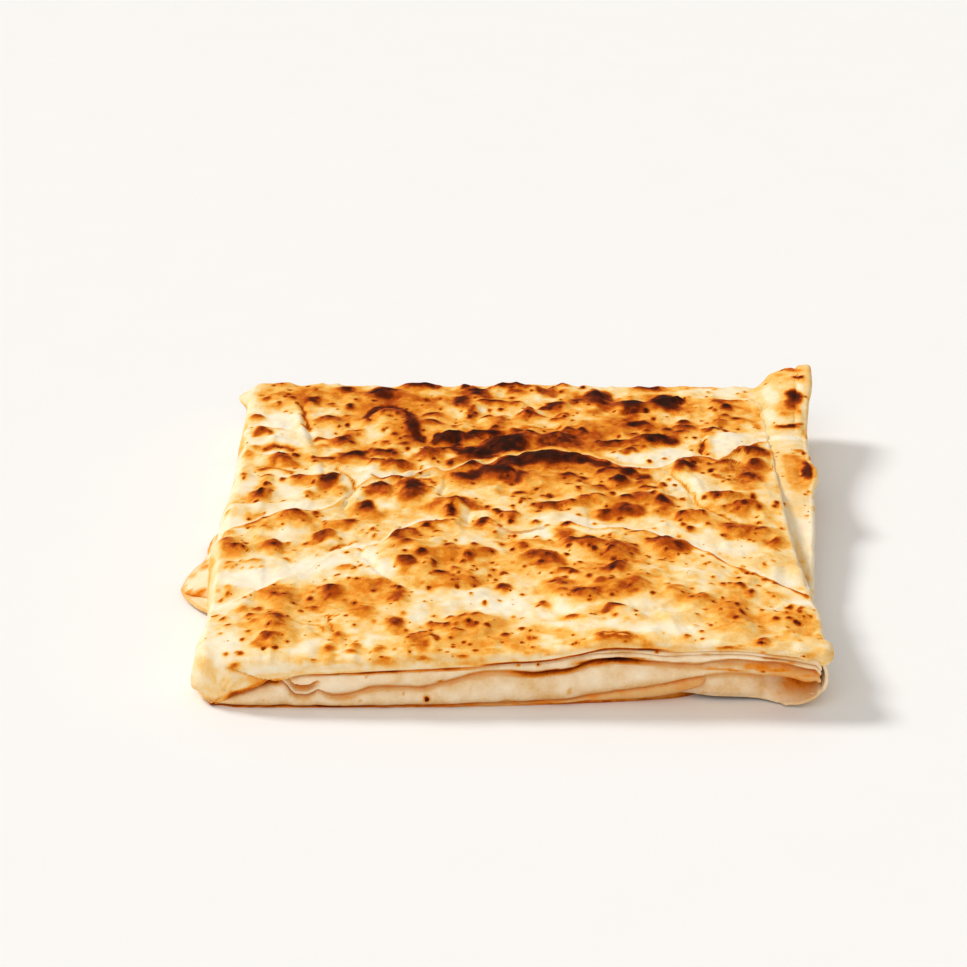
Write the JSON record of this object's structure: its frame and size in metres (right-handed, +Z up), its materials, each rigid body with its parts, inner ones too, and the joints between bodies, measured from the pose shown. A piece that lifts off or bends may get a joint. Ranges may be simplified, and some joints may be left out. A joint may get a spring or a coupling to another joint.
{
  "type": "gozleme",
  "caption": "Thin wheat dough folded over and over into a flat rectangular packet and baked dry on a griddle, with browned blisters and open fold layers along its front.",
  "frame": {"origin": "middle of the bounding box, at the flat base", "axes": "+Z up; -Y towards the front, where the folded layers show; +X towards the side with the folded-over strip"},
  "size_m": [0.2162, 0.224, 0.0229],
  "materials": {
    "baked_dough": "dry baked wheat dough, cream with golden to dark brown griddle spots, dull with a faint floury sheen"
  },
  "bodies": {
    "root": {"gozleme": "baked_dough"}
  },
  "joints": []
}
